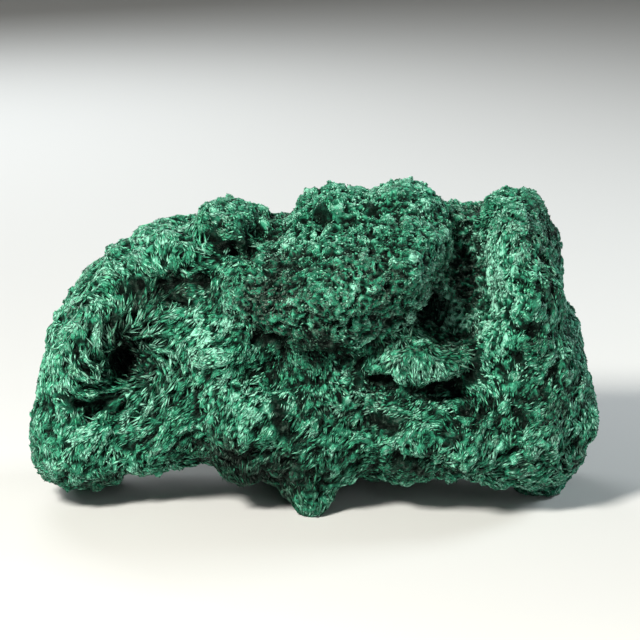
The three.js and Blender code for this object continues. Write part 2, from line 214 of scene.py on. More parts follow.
# Lumps of the front face that stand out with a crisp edge, or flats that are sunk where the height is below
# 0, at shares of the box's width and height. Their height is in millimetres.
LUMPS = (
    Lump("knob", (0.357, 0.872), (0.043, 0.036), 1.2),
    Lump("needle shelf", (0.688, 0.492), (0.08, 0.05), 1.8),
    Lump("pillar's lump", (0.862, 0.665), (0.032, 0.062), 1.6),
    Lump("feathered ledge", (0.665, 0.345), (0.062, 0.06), 1.2),
    Lump("sill under the shelf", (0.715, 0.375), (0.055, 0.03), 2.6),
    Lump("knob's left end", (0.326, 0.88), (0.022, 0.03), 1),
    Lump("flat over the knob", (0.355, 0.955), (0.045, 0.03), -1.2),
    Lump("ledge's end", (0.755, 0.225), (0.05, 0.055), 1.2),
    Lump("ledge's left brow", (0.405, 0.345), (0.05, 0.07), 1.3),
    Lump("feathered shoulder", (0.245, 0.805), (0.055, 0.05), 1.5),
    Lump("flank's upper lump", (0.115, 0.6), (0.04, 0.055), 1.1),
    Lump("lobe", (0.085, 0.23), (0.06, 0.085), 1.2),
    Lump("boulder's crown", (0.53, 0.8), (0.075, 0.085), 1),
    Lump("corner", (0.9, 0.33), (0.045, 0.09), 1),
)

# The ribs that sweep round the funnel: how many, how far they turn as they leave the pit, and where they
# begin and end and how high they stand, in millimetres.
WHORL = {"at": (0.190, 0.465), "ribs": 13, "twist": 12.0, "reach": (2.5, 12.0), "height": 2.1}


# ---------------------------------------------------------------- numbers


def linear(hex_colour):
    """An sRGB hex colour as linear red, green and blue, with full alpha."""
    shares = [int(hex_colour[n:n + 2], 16) / 255 for n in (1, 3, 5)]
    return (*(c / 12.92 if c <= 0.04045 else ((c + 0.055) / 1.055) ** 2.4 for c in shares), 1.0)


def unit(vectors):
    """The same directions with a length of one."""
    return vectors / np.maximum(np.linalg.norm(vectors, axis=-1, keepdims=True), 1e-12)


def smoothstep(value, start, end):
    """Goes from 0 to 1 as value goes from start to end."""
    share = np.clip((value - start) / (end - start), 0, 1)
    return share * share * (3 - 2 * share)


def lattice(cells, seed):
    """A repeatable number from 0 to 1 for each whole-number cell."""
    mixed = cells[..., 0] * 73856093 ^ cells[..., 1] * 19349663 ^ cells[..., 2] * 83492791
    mixed = (mixed ^ (seed * 1013904223)) & 0xFFFFFFFF
    for shift in (15, 13, 16):
        mixed = ((mixed ^ (mixed >> shift)) * 0x2C1B3C6D) & 0xFFFFFFFF
    return mixed / 0xFFFFFFFF


def noise(points, size, seed):
    """Smooth noise from -1 to 1 whose bumps are about size across."""
    scaled = points / size
    low = np.floor(scaled).astype(np.int64)
    share = scaled - low
    share = share * share * share * (share * (share * 6 - 15) + 10)
    total = np.zeros(len(points))
    for corner in np.ndindex(2, 2, 2):
        step = np.array(corner)
        total += np.prod(np.where(step == 1, share, 1 - share), axis=1) * lattice(low + step, seed)
    return 2 * total - 1


def wander(points, size, seed):
    """Smooth noise along X, Y and Z."""
    return np.stack([noise(points, size, seed + axis) for axis in range(3)], axis=1)


def scatter(cells, seed):
    """A repeatable place for a knob's middle in each cell."""
    return np.stack([lattice(cells, seed + axis) for axis in range(3)], axis=1)


def cobbles(points, size, seed):
    """Rounded knobs about size across: 1 on a knob's top, down to 0 in the creases between them."""
    scaled = points / size
    home = np.floor(scaled).astype(np.int64)
    nearest = np.full(len(points), 9.0)
    for step in np.ndindex(3, 3, 3):
        cell = home + np.array(step) - 1
        centre = cell + scatter(cell, seed)
        nearest = np.minimum(nearest, np.sum((scaled - centre) ** 2, axis=1))
    return np.clip(1 - nearest, 0, 1)


def sheaves(points, outward, habit, size, seed):
    """The sheaf that each point of the surface belongs to. Sheaves are about size across, and longer along
    the flow where the crystals keep order. Returns how near its middle the point is, from 1 down to 0 in
    the crease round it, the way its fibres run, the point's place along and across them, and its number."""
    flow = unit(habit["flow"] - np.sum(habit["flow"] * outward, axis=1, keepdims=True) * outward)
    squeeze = 1 - 1 / (1 + 1.5 * habit["order"]) ** 2
    scaled = points / size
    home = np.floor(scaled).astype(np.int64)
    nearest = np.full(len(points), 9.0)
    away = np.zeros_like(points)
    number = np.zeros(len(points))
    for step in np.ndindex(3, 3, 3):
        cell = home + np.array(step) - 1
        gap = scaled - cell - scatter(cell, seed)
        far = np.sum(gap ** 2, axis=1) - squeeze * np.sum(gap * flow, axis=1) ** 2
        closer = far < nearest
        nearest[closer] = far[closer]
        away[closer] = gap[closer]
        number[closer] = lattice(cell, seed + 3)[closer]
    swing = np.radians(10 + 75 * (1 - habit["order"]) ** 1.5) * (2 * (number * 7.31 % 1) - 1)
    side = np.cross(outward, flow)
    way = flow * np.cos(swing)[:, None] + side * np.sin(swing)[:, None]
    along = size * np.sum(away * way, axis=1)
    across = size * np.sum(away * np.cross(outward, way), axis=1)
    return np.clip(1 - nearest / 0.62, 0, 1), way, along, across, number


def drop_below(points, line, fade):
    """1 just below a line of straight stretches on the front face, down to 0 above it and past fade."""
    nearest = np.full(len(points), np.inf)
    share = np.zeros(len(points))
    for start, end in zip(line[:-1], line[1:]):
        way = (end - start) * (1, 0, 1)
        offset = (points - start) * (1, 0, 1)
        place = offset @ way / (way @ way)
        offset -= np.clip(place, 0, 1)[:, None] * way
        far = np.linalg.norm(offset, axis=1)
        below = offset @ unit(np.cross((0, 1, 0), way))
        past = offset @ unit(way)
        depth = np.abs(points[:, 1] - start[1])
        value = smoothstep(below, -0.3 * MM, 0.5 * MM)
        value = value * np.exp(-(below / fade) ** 2 - (past / (1.5 * MM)) ** 2)
        value = value * (1 - smoothstep(depth, 8 * MM, 13 * MM))
        share = np.where(far < nearest, value, share)
        nearest = np.minimum(nearest, far)
    return share


def line_distance(points, line):
    """How far each point is from a line of straight stretches, or from its only point."""
    nearest = np.linalg.norm(points - line[0], axis=1)
    for start, end in zip(line[:-1], line[1:]):
        way = end - start
        share = np.clip((points - start) @ way / (way @ way), 0, 1)
        nearest = np.minimum(nearest, np.linalg.norm(points - start - share[:, None] * way, axis=1))
    return nearest


def frontness(shares):
    """1 on the front half of the stone, down to 0 near its back, from shares of its box."""
    return 1 - smoothstep(shares[:, 1], 0.5, 0.8)


def habit_at(points):
    """The crystals' measures and flow at each point, blended from the regions near it."""
    shares = (points - LOW) / SPAN
    front = frontness(shares)
    shares[:, 1] = 0.5 - np.abs(shares[:, 1] - 0.5)  # the back has the habits of the front before it
    total = np.full(len(points), COMMON_SHARE)
    values = {key: COMMON_SHARE * getattr(COMMON, key) * np.ones(len(points)) for key in MEASURES}
    bend = wander(points, 9 * MM, SEED + 20)
    flow = COMMON_SHARE * (np.array(COMMON.flow) + 1.5 * bend)
    for region in HABITS:
        away = shares - region.at
        weight = np.exp(-1.5 * np.sum((away / region.reach) ** 2, axis=1))
        out = unit(away * SPAN)
        round_it = np.cross(out, (0, 1, 0))
        total += weight
        for key in values:
            values[key] += weight * getattr(region, key)
        way = np.array(region.flow) + region.spread * out + region.swirl * round_it
        flow += weight[:, None] * (way + 0.35 * bend)
    habit = {key: value / total for key, value in values.items()} | {"flow": unit(flow)}
    habit["order"] = np.clip(habit["order"] + 0.3 * noise(points, 10 * MM, SEED + 24), 0, 1)
    habit["tone"] = np.where(front > 0, habit["tone"], 0.4 * habit["tone"])
    habit["tone"] = habit["tone"] + 0.4 * (1 - front) * noise(points, 14 * MM, SEED + 25)
    # The patches paint shade and highlight on the front's tone, and change how dull its grains are.
    for patch in PATCHES:
        away = (shares[:, (0, 2)] - patch.at) / patch.reach
        change = patch.tone * front * np.exp(-1.5 * np.sum(away ** 2, axis=1))
        habit["tone"] += change
        habit["dull"] = np.clip(habit["dull"] - 0.5 * change, 0, 0.9)
    return habit


# ---------------------------------------------------------------- meshes


def coordinates(mesh):
    """The mesh's vertices as rows of x, y and z."""
    flat = np.empty(3 * len(mesh.vertices), dtype=np.float32)
    mesh.vertices.foreach_get("co", flat)
    return flat.reshape(-1, 3).astype(float)


def normals(mesh):
    """The mesh's vertex normals as rows of x, y and z."""
    flat = np.empty(3 * len(mesh.vertices), dtype=np.float32)
    mesh.vertex_normals.foreach_get("vector", flat)
    return flat.reshape(-1, 3).astype(float)


def edges_of(mesh):
    """The mesh's edges as rows of two vertex numbers."""
    flat = np.empty(2 * len(mesh.edges), dtype=np.int32)
    mesh.edges.foreach_get("vertices", flat)
    return flat.reshape(-1, 2)


def evened(values, edges, rounds, strength=0.5):
    """Values at the vertices, each moved towards its neighbours' mean again and again."""
    values = values.copy()
    count = np.bincount(edges.ravel(), minlength=len(values))[:, None]
    for _ in range(rounds):
        total = np.zeros_like(values)
        for column in range(values.shape[1]):
            total[:, column] = np.bincount(edges[:, 0], values[edges[:, 1], column], len(values))
            total[:, column] += np.bincount(edges[:, 1], values[edges[:, 0], column], len(values))
        values += strength * (total / count - values)
    return values


def tree_of(mesh):
    """The mesh as a tree that rays are cast against."""
    return BVHTree.FromPolygons([v.co for v in mesh.vertices], [p.vertices for p in mesh.polygons])


def point_attribute(mesh, name, values):
    """Stores one number for each vertex."""
    mesh.attributes.new(name, "FLOAT", "POINT").data.foreach_set("value", values.astype(np.float32))


def stored(mesh, name):
    """The numbers that point_attribute stored."""
    values = np.empty(len(mesh.vertices), dtype=np.float32)
    mesh.attributes[name].data.foreach_get("value", values)
    return values.astype(float)


def point_vectors(mesh, name, vectors):
    """Stores three numbers for each vertex."""
    layer = mesh.attributes.new(name, "FLOAT_VECTOR", "POINT")
    layer.data.foreach_set("vector", vectors.astype(np.float32).ravel())


def stored_vectors(mesh, name):
    """The numbers that point_vectors stored."""
    values = np.empty(3 * len(mesh.vertices), dtype=np.float32)
    mesh.attributes[name].data.foreach_get("vector", values)
    return values.reshape(-1, 3).astype(float)


def triangle_mesh(name, points, triangles):
    """A mesh of triangles from rows of coordinates and rows of vertex numbers."""
    mesh = bpy.data.meshes.new(name)
    mesh.vertices.add(len(points))
    mesh.vertices.foreach_set("co", points.astype(np.float32).ravel())
    mesh.loops.add(triangles.size)
    mesh.loops.foreach_set("vertex_index", triangles.astype(np.int32).ravel())
    mesh.polygons.add(len(triangles))
    mesh.polygons.foreach_set("loop_start", np.arange(0, triangles.size, 3, dtype=np.int32))
    mesh.update(calc_edges=True)
    return mesh


def show(name, mesh, material):
    """Puts a mesh in the scene as a piece that stands for the CAD stone."""
    piece = bpy.data.objects.new(name, mesh)
    bpy.context.scene.collection.objects.link(piece)
    piece.data.materials.clear()
    piece.data.materials.append(material)
    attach(piece, "root")
    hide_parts(STONE)
    return piece


# ---------------------------------------------------------------- materials


def add(tree, kind, settings, inputs):
    """Adds a node: settings are its properties, and inputs its sockets' values or what feeds them."""
    node = tree.nodes.new(kind)
    for name, value in settings.items():
        if name == "stops":
            for place, colour in value[2:]:
                node.color_ramp.elements.new(place)
            for element, (place, colour) in zip(node.color_ramp.elements, value):
                element.position = place
                element.color = colour
        else:
            setattr(node, name, value)
    for key, value in inputs.items():
        named = [socket for socket in node.inputs if socket.enabled and socket.name == key]
        socket = node.inputs[key] if isinstance(key, int) else named[0]
        if isinstance(value, bpy.types.NodeSocket):
            tree.links.new(value, socket)
        else:
            socket.default_value = value
    return node


def new_material(name):
    """An empty node material, and its tree."""
    material = bpy.data.materials.new(name)
    material.use_nodes = True
    material.node_tree.nodes.clear()
    return material, material.node_tree


def per_metre(millimetres):
    """The texture scale that makes a pattern's features this many millimetres across."""
    return 1 / (millimetres * MM)


def mottle(tree, place, millimetres, detail, roughness):
    """Noise from 0 to 1 with features this many millimetres across."""
    node = add(tree, "ShaderNodeTexNoise", {}, {
        "Vector": place, "Scale": per_metre(millimetres), "Detail": detail, "Roughness": roughness})
    return node.outputs["Fac"]


def ranged(tree, value, start, end, top=1.0):
    """Goes from 0 to top as value goes from start to end."""
    return add(tree, "ShaderNodeMapRange", {}, {
        "Value": value, "From Min": start, "From Max": end, "To Max": top}).outputs["Result"]


def weighed(tree, value, weight, rest):
    """The value times its weight, plus the rest."""
    return add(tree, "ShaderNodeMath", {"operation": "MULTIPLY_ADD"}, {
        0: value, 1: weight, 2: rest}).outputs["Value"]


def mixed(tree, share, first, second, blend="MIX"):
    """The first colour where the share is 0, and where it is 1 the second, or the two blended."""
    return add(tree, "ShaderNodeMix", {"data_type": "RGBA", "blend_type": blend}, {
        "Factor": share, "A": first, "B": second}).outputs[2]


def ramped(tree, share, stops):
    """The colour at this share of the way along the stops."""
    return add(tree, "ShaderNodeValToRGB", {"stops": stops}, {"Fac": share}).outputs["Color"]


def stored_numbers(tree, names):
    """The numbers that the mesh stores under these names."""
    return [add(tree, "ShaderNodeAttribute", {"attribute_name": name}, {}).outputs["Fac"] for name in names]


def varied(tree, place, colours):
    """What a colour is multiplied by: vivid where the crystals are fresh, and dusty where they are worn."""
    tint = (1.0, 1.0, 1.0, 1.0)
    for millimetres, start, patch in ((2.4, 0.52, colours.vivid), (3.1, 0.55, colours.dusty)):
        blotch = mottle(tree, place, millimetres, 4.0, 0.65)
        tint = mixed(tree, ranged(tree, blotch, start, start + 0.16, 0.6), tint, patch)
    return tint


def surfaced(tree, inputs):
    """Makes a plain surface with these inputs the material's own."""
    shader = add(tree, "ShaderNodeBsdfPrincipled", {}, inputs)
    add(tree, "ShaderNodeOutputMaterial", {}, {"Surface": shader.outputs["BSDF"]})


def massive_malachite(colours):
    """Massive fibrous malachite, sheaves of fine fibres grown into one mass: silky green, paler along each
    fibre, painted blackish green in the creases and hollows as shade, and painted paler on the sheaves'
    backs as highlight."""
    material, tree = new_material("massive_malachite")
    place = add(tree, "ShaderNodeTexCoord", {}, {}).outputs["Object"]
    crest, number, dull, opened = stored_numbers(tree, ("crest", "number", "dull", "open"))
    strand = add(tree, "ShaderNodeAttribute", {"attribute_name": "strand"}, {})
    # Real fibres are a few hundredths of a millimetre thick: they are drawn as threads of 0.3 mm, to show.
    threads = add(tree, "ShaderNodeVectorMath", {"operation": "MULTIPLY"}, {
        0: strand.outputs["Vector"], 1: (per_metre(2.0), per_metre(0.3), per_metre(1.0))})
    fibre = add(tree, "ShaderNodeTexNoise", {}, {
        "Vector": threads.outputs["Vector"], "Scale": 1.0, "Detail": 2.0, "Roughness": 0.6}).outputs["Fac"]
    grain = mottle(tree, place, 0.6, 3.0, 0.7)
    patch = mottle(tree, place, 5.0, 4.0, 0.6)
    # Painted light: crest makes the sheaves' backs paler as painted highlight and the creases darker as
    # painted shade, beside the fibres', grains' and sheaves' own tone.
    tone = weighed(tree, crest, 0.7, 0.1)
    for source, weight in ((fibre, 0.7), (grain, 0.5), (patch, 0.7), (number, 0.25)):
        tone = weighed(tree, source, weight, tone)
    green = ramped(tree, ranged(tree, tone, 1.0, 2.1), (
        (0.0, colours.shadow), (0.25, colours.ground), (0.45, colours.deep), (0.62, colours.emerald),
        (0.82, colours.bright), (1.0, colours.mint)))
    dust = ranged(tree, mottle(tree, place, 0.9, 2.0, 0.5), 0.5, 0.62)
    dusted = add(tree, "ShaderNodeMath", {"operation": "MULTIPLY"}, {0: dust, 1: dull})
    worn = mixed(tree, dusted.outputs["Value"], green, colours.dull)
    relief = add(tree, "ShaderNodeMath", {"operation": "ADD"}, {0: fibre, 1: grain})
    bump = add(tree, "ShaderNodeBump", {}, {
        "Height": relief.outputs["Value"], "Strength": 1.0, "Distance": 0.45 * MM})
    # The shadow colour is painted shade where the stone hides the sky.
    surfaced(tree, {
        "Base Color": mixed(tree, opened, colours.shadow, worn), "Roughness": 0.6, "IOR": 1.65,
        "Specular IOR Level": 0.07, "Normal": bump.outputs["Normal"]})
    return material


def acicular_malachite(colours):
    """Acicular malachite, grown as free needles, with a silky lustre: each spindle painted dark at its root
    and lower sides as shade, and pale on its upper ridge and its tip as highlight.
    """
    material, tree = new_material("acicular_malachite")
    place = add(tree, "ShaderNodeTexCoord", {}, {}).outputs["Object"]
    along, shade, dull, opened = stored_numbers(tree, ("along", "shade", "dull", "open"))
    tone = weighed(tree, mottle(tree, place, 5.0, 4.0, 0.6), 0.9, -0.45)
    # shade holds painted light as well as each sheaf's own tone.
    toned = add(tree, "ShaderNodeMath", {"operation": "ADD", "use_clamp": True}, {0: shade, 1: tone})
    fibre = ramped(tree, toned.outputs["Value"], (
        (0.0, colours.deep), (0.40, colours.emerald), (0.75, colours.bright), (1.0, colours.mint)))
    hued = mixed(tree, 1.0, fibre, varied(tree, place, colours), "MULTIPLY")
    dusty = mixed(tree, dull, hued, colours.dull)
    # Painted light on each spindle: the ground colour as painted shade at its root and lower waist, and its
    # full colour as painted highlight on its upper ridge and its tip.
    height = ramped(tree, along, (
        (0.0, (0.05, 0.05, 0.05, 1)), (0.35, (0.4, 0.4, 0.4, 1)), (0.75, (1, 1, 1, 1))))
    ridge_lit_root_shaded = mixed(tree, height, colours.ground, dusty)
    # The shadow colour is painted shade where the stone hides the sky.
    surfaced(tree, {
        "Base Color": mixed(tree, opened, colours.shadow, ridge_lit_root_shaded), "Roughness": 0.5, "IOR": 1.65,
        "Specular IOR Level": 0.16})
    return material


def matte_card(colour):
    """Matte paper card, calendered and uncoated, so it shows soft shadows and no gloss."""
    material, tree = new_material("matte_card")
    surfaced(tree, {"Base Color": colour, "Roughness": 0.9, "IOR": 1.45, "Specular IOR Level": 0.2})
    return material


def kept_material(maker, colours):
    """The maker's material, made the first time that it is asked for."""
    return bpy.data.materials.get(maker.__name__) or maker(colours)


# ---------------------------------------------------------------- the stone's ground mass


def modified(mesh, kind, settings):
    """A new mesh, made from this one by a modifier."""
    carrier = bpy.data.objects.new("carrier", mesh)
    bpy.context.scene.collection.objects.link(carrier)
    modifier = carrier.modifiers.new("change", kind)
    for name, value in settings.items():
        setattr(modifier, name, value)
    evaluated = carrier.evaluated_get(bpy.context.evaluated_depsgraph_get())
    result = bpy.data.meshes.new_from_object(evaluated)
    bpy.data.objects.remove(carrier)
    return result


def voxel_copy(mesh, voxel):
    """A new mesh of the same shape, rebuilt in even squares of the given size."""
    return modified(mesh, "REMESH", {"mode": "VOXEL", "voxel_size": voxel})


def lightened(mesh, most):
    """The mesh with its flattest places drawn in fewer triangles, so that it has no more than most."""
    triangles = sum(len(face.vertices) - 2 for face in mesh.polygons)
    return modified(mesh, "DECIMATE", {"ratio": min(1, most / triangles)})


def without_crumbs(mesh):
    """The mesh without the tiny shells that rebuilding leaves beside the large one."""
    stone = bmesh.new()
    stone.from_mesh(mesh)
    unseen = set(stone.verts)
    shells = []
    while unseen:
        rim = {unseen.pop()}
        shell = set(rim)
        while rim:
            rim = {vert for seen in rim for edge in seen.link_edges for vert in edge.verts} - shell
            shell |= rim
        unseen -= shell
        shells.append(shell)
    shells.sort(key=len)
    crumbs = [vert for shell in shells[:-1] for vert in shell]
    bmesh.ops.delete(stone, geom=crumbs, context="VERTS")
    stone.to_mesh(mesh)
    stone.free()
    return mesh


def reshape(mesh, points):
    """Moves the mesh's vertices."""
    mesh.vertices.foreach_set("co", points.astype(np.float32).ravel())
    mesh.update()


def on_front(tree, across, up):
    """The point of the front face at these shares of the box's width and height."""
    start = Vector((LOW[0] + across * SPAN[0], LOW[1] - 10 * MM, LOW[2] + up * SPAN[2]))
    hit = tree.ray_cast(start, Vector((0, 1, 0)))[0]
    if hit is None:
        raise RuntimeError(f"no stone at {across}, {up} of its front")
    return np.array(hit)


def front_line(tree, points):
    """The points of the front face at these pairs of shares."""
    return [on_front(tree, across, up) for across, up in points]


def openness(tree, points, outward, reach):
    """The share of the sky above each point that no other part of the stone hides within reach, where a
    missed ray that ends below the floor counts for 0.35: it is painted into the colours as shade.
    """
    rays = 14
    turn = math.pi * (3 - math.sqrt(5))  # the golden angle spreads the rays evenly
    angles = turn * np.arange(rays)
    heights = (np.arange(rays) + 0.5) / rays
    flat = np.sqrt(1 - heights ** 2)
    dome = np.stack([flat * np.cos(angles), flat * np.sin(angles), heights], axis=1)
    side = unit(np.cross(outward, np.where(np.abs(outward[:, 2:]) < 0.9, (0, 0, 1), (1, 0, 0))))
    across = np.cross(outward, side)
    free = np.zeros(len(points))
    for ray in dome:
        ways = ray[0] * side + ray[1] * across + ray[2] * outward
        starts = points + 0.8 * MM * outward
        hits = (tree.ray_cast(Vector(s), Vector(w), reach)[0] for s, w in zip(starts, ways))
        missed = np.fromiter((hit is None for hit in hits), float, len(points))
        over_floor = starts[:, 2] + reach * ways[:, 2] > LOW[2]
        free += missed * (0.35 + 0.65 * over_floor)
    return free / rays


class SPECIMEN_OT_ground(bpy.types.Operator):
    """Builds the ground mass: the CAD stone drawn in by the height of the crystals, with its knobs,
    creases, cracks and pits"""

    bl_idname = "specimen.ground"
    bl_label = "Ground Mass"

    def execute(self, context):
        sizes = context.scene.specimen.sizes
        mesh = self.rough_shape(sizes)
        solid = tree_of(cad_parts[STONE].data)
        edges = edges_of(mesh)
        points = coordinates(mesh)
        outward = unit(evened(normals(mesh), edges, 3))
        habit = habit_at(points)
        bent = points + 0.5 * MM * wander(points, 2 * MM, SEED + 70)
        dome, way, along, across, number = sheaves(bent, outward, habit, 2.1 * MM, SEED + 3)
        ordered = 0.35 + 0.65 * habit["order"]
        loose = 1 - habit["order"]
        sheaf = 0.75 * dome ** 0.7 + 0.35 * along / (2 * MM) - 0.45
        strand = np.stack([across / (0.45 * MM), along / (2.4 * MM), APART * number], axis=1)
        sheaf += 0.28 * noise(strand, 1, SEED + 9) + 0.4 * (number - 0.5)
        grain = 0.45 * cobbles(bent, 1.7 * MM, SEED + 14) - 0.6 * np.abs(noise(bent, 1.5 * MM, SEED + 12))
        grain += 0.1 - 0.6 * np.abs(noise(bent, 1 * MM, SEED + 16))
        rise = sizes.sheaf_height * (sheaf * ordered + 1.35 * loose * grain)
        bare = self.bareness(solid, bent)
        points = self.settled(points, outward * (rise * (1 - 0.7 * bare))[:, None])
        reshape(mesh, points)

        opened = self.opened(mesh, points, outward, edges)
        proud = self.proud(points, outward, edges)
        ribs = self.whorl(solid, points)[0] / (WHORL["height"] * MM)
        # Painted light: the colours are painted darker as shade where the stone and the floor hide the sky,
        # in the creases and in the whorl's grooves, and paler as highlight where the surface stands out, on
        # the crests and on the whorl's ribs. The regions' tone adds their painted shade and highlight. open
        # keeps this painted light, and proud and crest keep the painted highlight of what stands out.
        tone = habit["tone"] + 0.35 * noise(points, 7 * MM, SEED + 40) + 1.1 * ribs
        lit = (0.15 + 0.85 * smoothstep(opened, 0.06, 0.6)) * (0.15 + 0.85 * proud)
        lit = lit * (1 + 0.6 * np.clip(tone, -1, 0) + 0.5 * np.clip(tone, 0, 1.5))
        crest = smoothstep(dome * ordered + loose * (grain + 0.6), 0.0, 1.1) * proud
        for name, values in (("open", np.clip(lit, 0, 1)), ("proud", np.clip(proud + 0.6 * tone, 0, 1.4)),
                             ("bare", bare), ("crest", (crest + 0.4 * tone) * (1 - bare)),
                             ("dull", habit["dull"]), ("number", number)):
            point_attribute(mesh, name, values)
        point_vectors(mesh, "strand", np.stack([along, across, APART * MM * number], axis=1))
        point_vectors(mesh, "way", way)
        mesh.shade_smooth()
        mesh = lightened(mesh, sizes.triangles)
        mesh.name = BODY
        show(BODY, mesh, kept_material(massive_malachite, context.scene.specimen.colours))
        return {"FINISHED"}

    def opened(self, mesh, points, outward, edges):
        """How much of the sky each point sees, from rays cast at every fifth of them, for the painted
        shade.
        """
        sample = np.arange(0, len(points), 5)
        coarse = openness(tree_of(mesh), points[sample], outward[sample], SKY_REACH)
        near = KDTree(len(sample))
        for index, place in enumerate(points[sample]):
            near.insert(place, index)
        near.balance()
        nearest = np.array([near.find(place)[1] for place in points])
        return evened(coarse[nearest][:, None], edges, 3)[:, 0]

    def proud(self, points, outward, edges):
        """1 where the surface stands out from what is round it, down to 0 in its creases and hollows."""
        fine = np.sum((points - evened(points, edges, 10)) * outward, axis=1)
        broad = np.sum((points - evened(points, edges, 90)) * outward, axis=1)
        return smoothstep(fine / (0.18 * MM) + broad / (0.8 * MM), -1.7, 1.2)

    def settled(self, points, move):
        """The points moved, but for the worn feet, which keep their height so that the stone stands."""
        move[:, 2] *= smoothstep(points[:, 2], 0.5 * MM, 4 * MM)
        moved = points + move
        moved[:, 2] = np.maximum(moved[:, 2], LOW[2])
        return moved

    def rough_shape(self, sizes):
        """The CAD stone drawn in by the crystals' height, with its knobs, cracks and pits."""
        mesh = voxel_copy(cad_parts[STONE].data.copy(), 0.8 * MM)
        edges = edges_of(mesh)
        points = evened(coordinates(mesh), edges, 8)
        reshape(mesh, points)
        outward = unit(evened(normals(mesh), edges, 5))
        tree = tree_of(mesh)
        bent = points + 1.7 * MM * wander(points, 5 * MM, SEED + 60)
        bent += 0.8 * MM * wander(points, 2 * MM, SEED + 66)
        rough = smoothstep(noise(points, 11 * MM, SEED + 64), -0.5, 0.5)
        rise = 0.9 * (np.abs(noise(bent, 9 * MM, SEED)) - 0.3)
        rise += (0.25 + 0.5 * rough) * (cobbles(bent, 5 * MM, SEED + 1) ** 0.7 - 0.7)
        rise += 0.8 * (np.abs(noise(bent, 3.4 * MM, SEED + 2)) - 0.3)
        rise += (0.8 - 0.4 * rough) * (cobbles(bent, 2.3 * MM, SEED + 5) ** 0.7 - 0.7)
        ribs, whorled = self.whorl(tree, points)
        rise = (1 - 0.75 * whorled) * sizes.knob_height * rise + ribs
        shares = (points + 1.2 * (bent - points) - LOW) / SPAN
        front = frontness(shares)
        for lump in LUMPS:
            out = np.linalg.norm((shares[:, (0, 2)] - lump.at) / lump.reach, axis=1)
            rise += lump.height * MM * (0.8 - 0.35 * out ** 2).clip(0) * smoothstep(out, 1.12, 0.95) * front
        for crack in CRACKS:
            rise -= crack.depth * MM * self.nearness(tree, bent, crack)
        for brink in BRINKS:
            line = front_line(tree, brink.points)
            rise -= brink.drop * MM * drop_below(bent, line, brink.fade * MM)
        reshape(mesh, self.settled(points, outward * (rise - sizes.draw_in)[:, None]))
        return without_crumbs(voxel_copy(mesh, sizes.voxel))

    def nearness(self, tree, points, crack):
        """1 in the middle of a crack or pit, down to 0 away from it."""
        far = line_distance(points, front_line(tree, crack.points))
        return np.exp(-(far / (crack.half_width * MM)) ** 4)

    def bareness(self, tree, points):
        """1 where a crack or pit keeps the crystals off, down to 0 away from them all."""
        bare = np.zeros(len(points))
        flatter = (1, 0.3, 1)  # depth counts for less than width and height
        for crack in CRACKS:
            far = line_distance(points * flatter, np.array(front_line(tree, crack.points)) * flatter)
            bare = np.maximum(bare, np.exp(-(far / (1.4 * crack.half_width * MM)) ** 2))
        return bare

    def whorl(self, tree, points):
        """The height of the ribs that sweep round the funnel, out of its pit, and 1 where they are."""
        centre = on_front(tree, *WHORL["at"])
        gap = points - centre
        far = np.maximum(np.hypot(gap[:, 0], gap[:, 2]), 0.5 * MM)
        turn = np.arctan2(gap[:, 2], gap[:, 0])
        wave = 1 - 2 * np.abs(np.sin(0.5 * (WHORL["ribs"] * turn + WHORL["twist"] * np.log(far / MM))))
        inner, outer = (value * MM for value in WHORL["reach"])
        window = smoothstep(far, 0.5 * inner, inner) * (1 - smoothstep(far, 0.7 * outer, outer))
        front = smoothstep(-gap[:, 1], -12 * MM, -6 * MM)
        return WHORL["height"] * MM * wave * window * front, window * front


# ---------------------------------------------------------------- the crystals


def thinned(points, spacing, rng):
    """Numbers of the points that are left when each cube of the given size keeps one."""
    order = rng.permutation(len(points))
    cells = np.floor(points[order] / spacing).astype(np.int64)
    first = np.unique(cells, axis=0, return_index=True)[1]
    return np.sort(order[first])


def tufts_where(chosen, spacing, rng):
    """Where tufts of needles grow on the ground mass, and which way: one to each cube of the spacing."""
    mesh = bpy.data.objects[BODY].data
    points = coordinates(mesh)
    outward = normals(mesh)
    worn = noise(points, 4 * MM, SEED + 80) + 0.5 * noise(points, 1.7 * MM, SEED + 81) > 0.8
    sites = np.flatnonzero(chosen(points, outward) & (stored(mesh, "bare") < 0.45) & ~worn)
    sites = sites[thinned(points[sites], spacing, rng)]
    place = points[sites]
    normal = outward[sites]
    habit = habit_at(place)
    way = stored_vectors(mesh, "way")[sites]
    loose = (0.05 + 0.4 * (1 - habit["order"]) ** 1.5)[:, None]
    flow = way + loose * rng.normal(size=place.shape)
    flow = unit(flow - np.sum(flow * normal, axis=1, keepdims=True) * normal)
    number = stored(mesh, "number")[sites]
    return {
        "place": place, "normal": normal, "flow": flow, "side": np.cross(normal, flow),
        "length": habit["length"] * MM * rng.uniform(0.7, 1.2, len(place)),
        "lean": np.radians(habit["lean"] + rng.normal(2, 4, len(place))),
        "stray": 0.05 + 0.15 * (1 - habit["order"]), "dull": habit["dull"],
        # open is painted light, and proud adds the crests' painted highlight and the creases' painted shade
        # to shade.
        "open": stored(mesh, "open")[sites],
        "shade": 0.5 * number + 0.6 * stored(mesh, "proud")[sites] + 0.2 * rng.random(len(place)) - 0.1,
    }


def held_down(tree, points, limit):
    """The points, with those that stand further than limit above the ground mass brought back to it."""
    held = points.copy()
    for index, (place, most) in enumerate(zip(points, limit)):
        near, _, _, far = tree.find_nearest(Vector(place))
        if far > most:
            held[index] = np.array(near) + (place - near) * (most / far)
    return held


